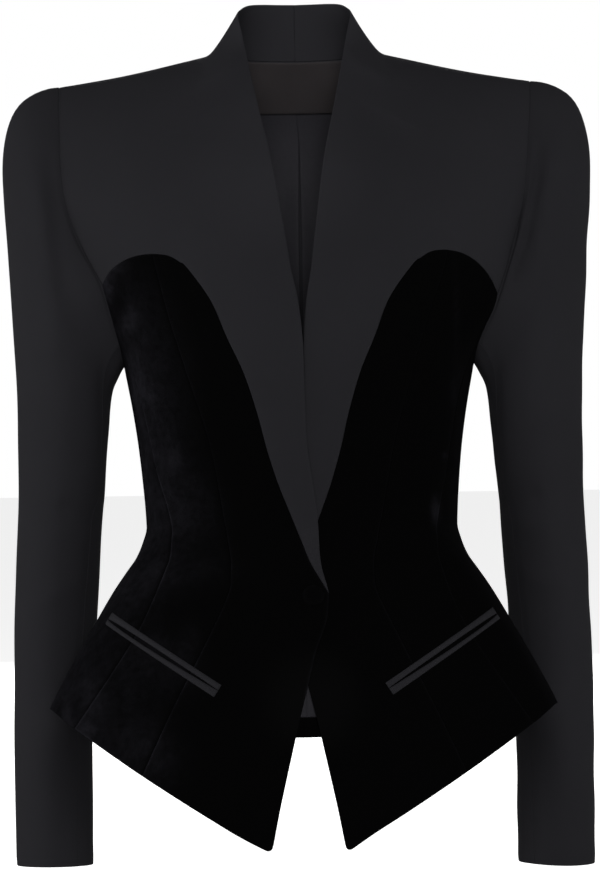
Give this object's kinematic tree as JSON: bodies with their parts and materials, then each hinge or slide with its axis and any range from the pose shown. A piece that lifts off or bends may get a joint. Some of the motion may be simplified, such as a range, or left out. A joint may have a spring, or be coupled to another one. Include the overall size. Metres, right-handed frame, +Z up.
{
  "type": "fitted blazer",
  "caption": "Fitted blazer with a funnel collar, strong shoulders, velvet bodice with a flared peplum, slanted jetted pockets and a waist button, filled out and hollow.",
  "frame": {"origin": "between the shoulder seams, at the height of the shoulder tips, where the garment is held", "axes": "+Z up from hem to collar, -Y out of the garment's front, +X towards the wearer's left"},
  "size_m": [0.4942, 0.2945, 0.7272],
  "materials": {
    "crepe": "matte crepe weave",
    "velvet": "short pile velvet",
    "lining_satin": "smooth lining",
    "label_weave": "fine woven label"
  },
  "bodies": {
    "root": {"front_upper_R": "crepe", "front_upper_L": "crepe", "back_upper_R": "crepe", "back_upper_L": "crepe", "upper_sleeve_R": "crepe", "upper_sleeve_L": "crepe", "under_sleeve_R": "crepe", "under_sleeve_L": "crepe", "pocket_jet_upper_R": "crepe", "pocket_jet_upper_L": "crepe", "pocket_jet_lower_R": "crepe", "pocket_jet_lower_L": "crepe", "front_velvet_R": "velvet", "front_velvet_L": "velvet", "front_side_velvet_R": "velvet", "front_side_velvet_L": "velvet", "side_panel_R": "velvet", "side_panel_L": "velvet", "back_velvet_R": "velvet", "back_velvet_L": "velvet", "back_lining_R": "lining_satin", "back_lining_L": "lining_satin", "neck_label": "label_weave", "waist_button": "velvet"}
  },
  "joints": []
}
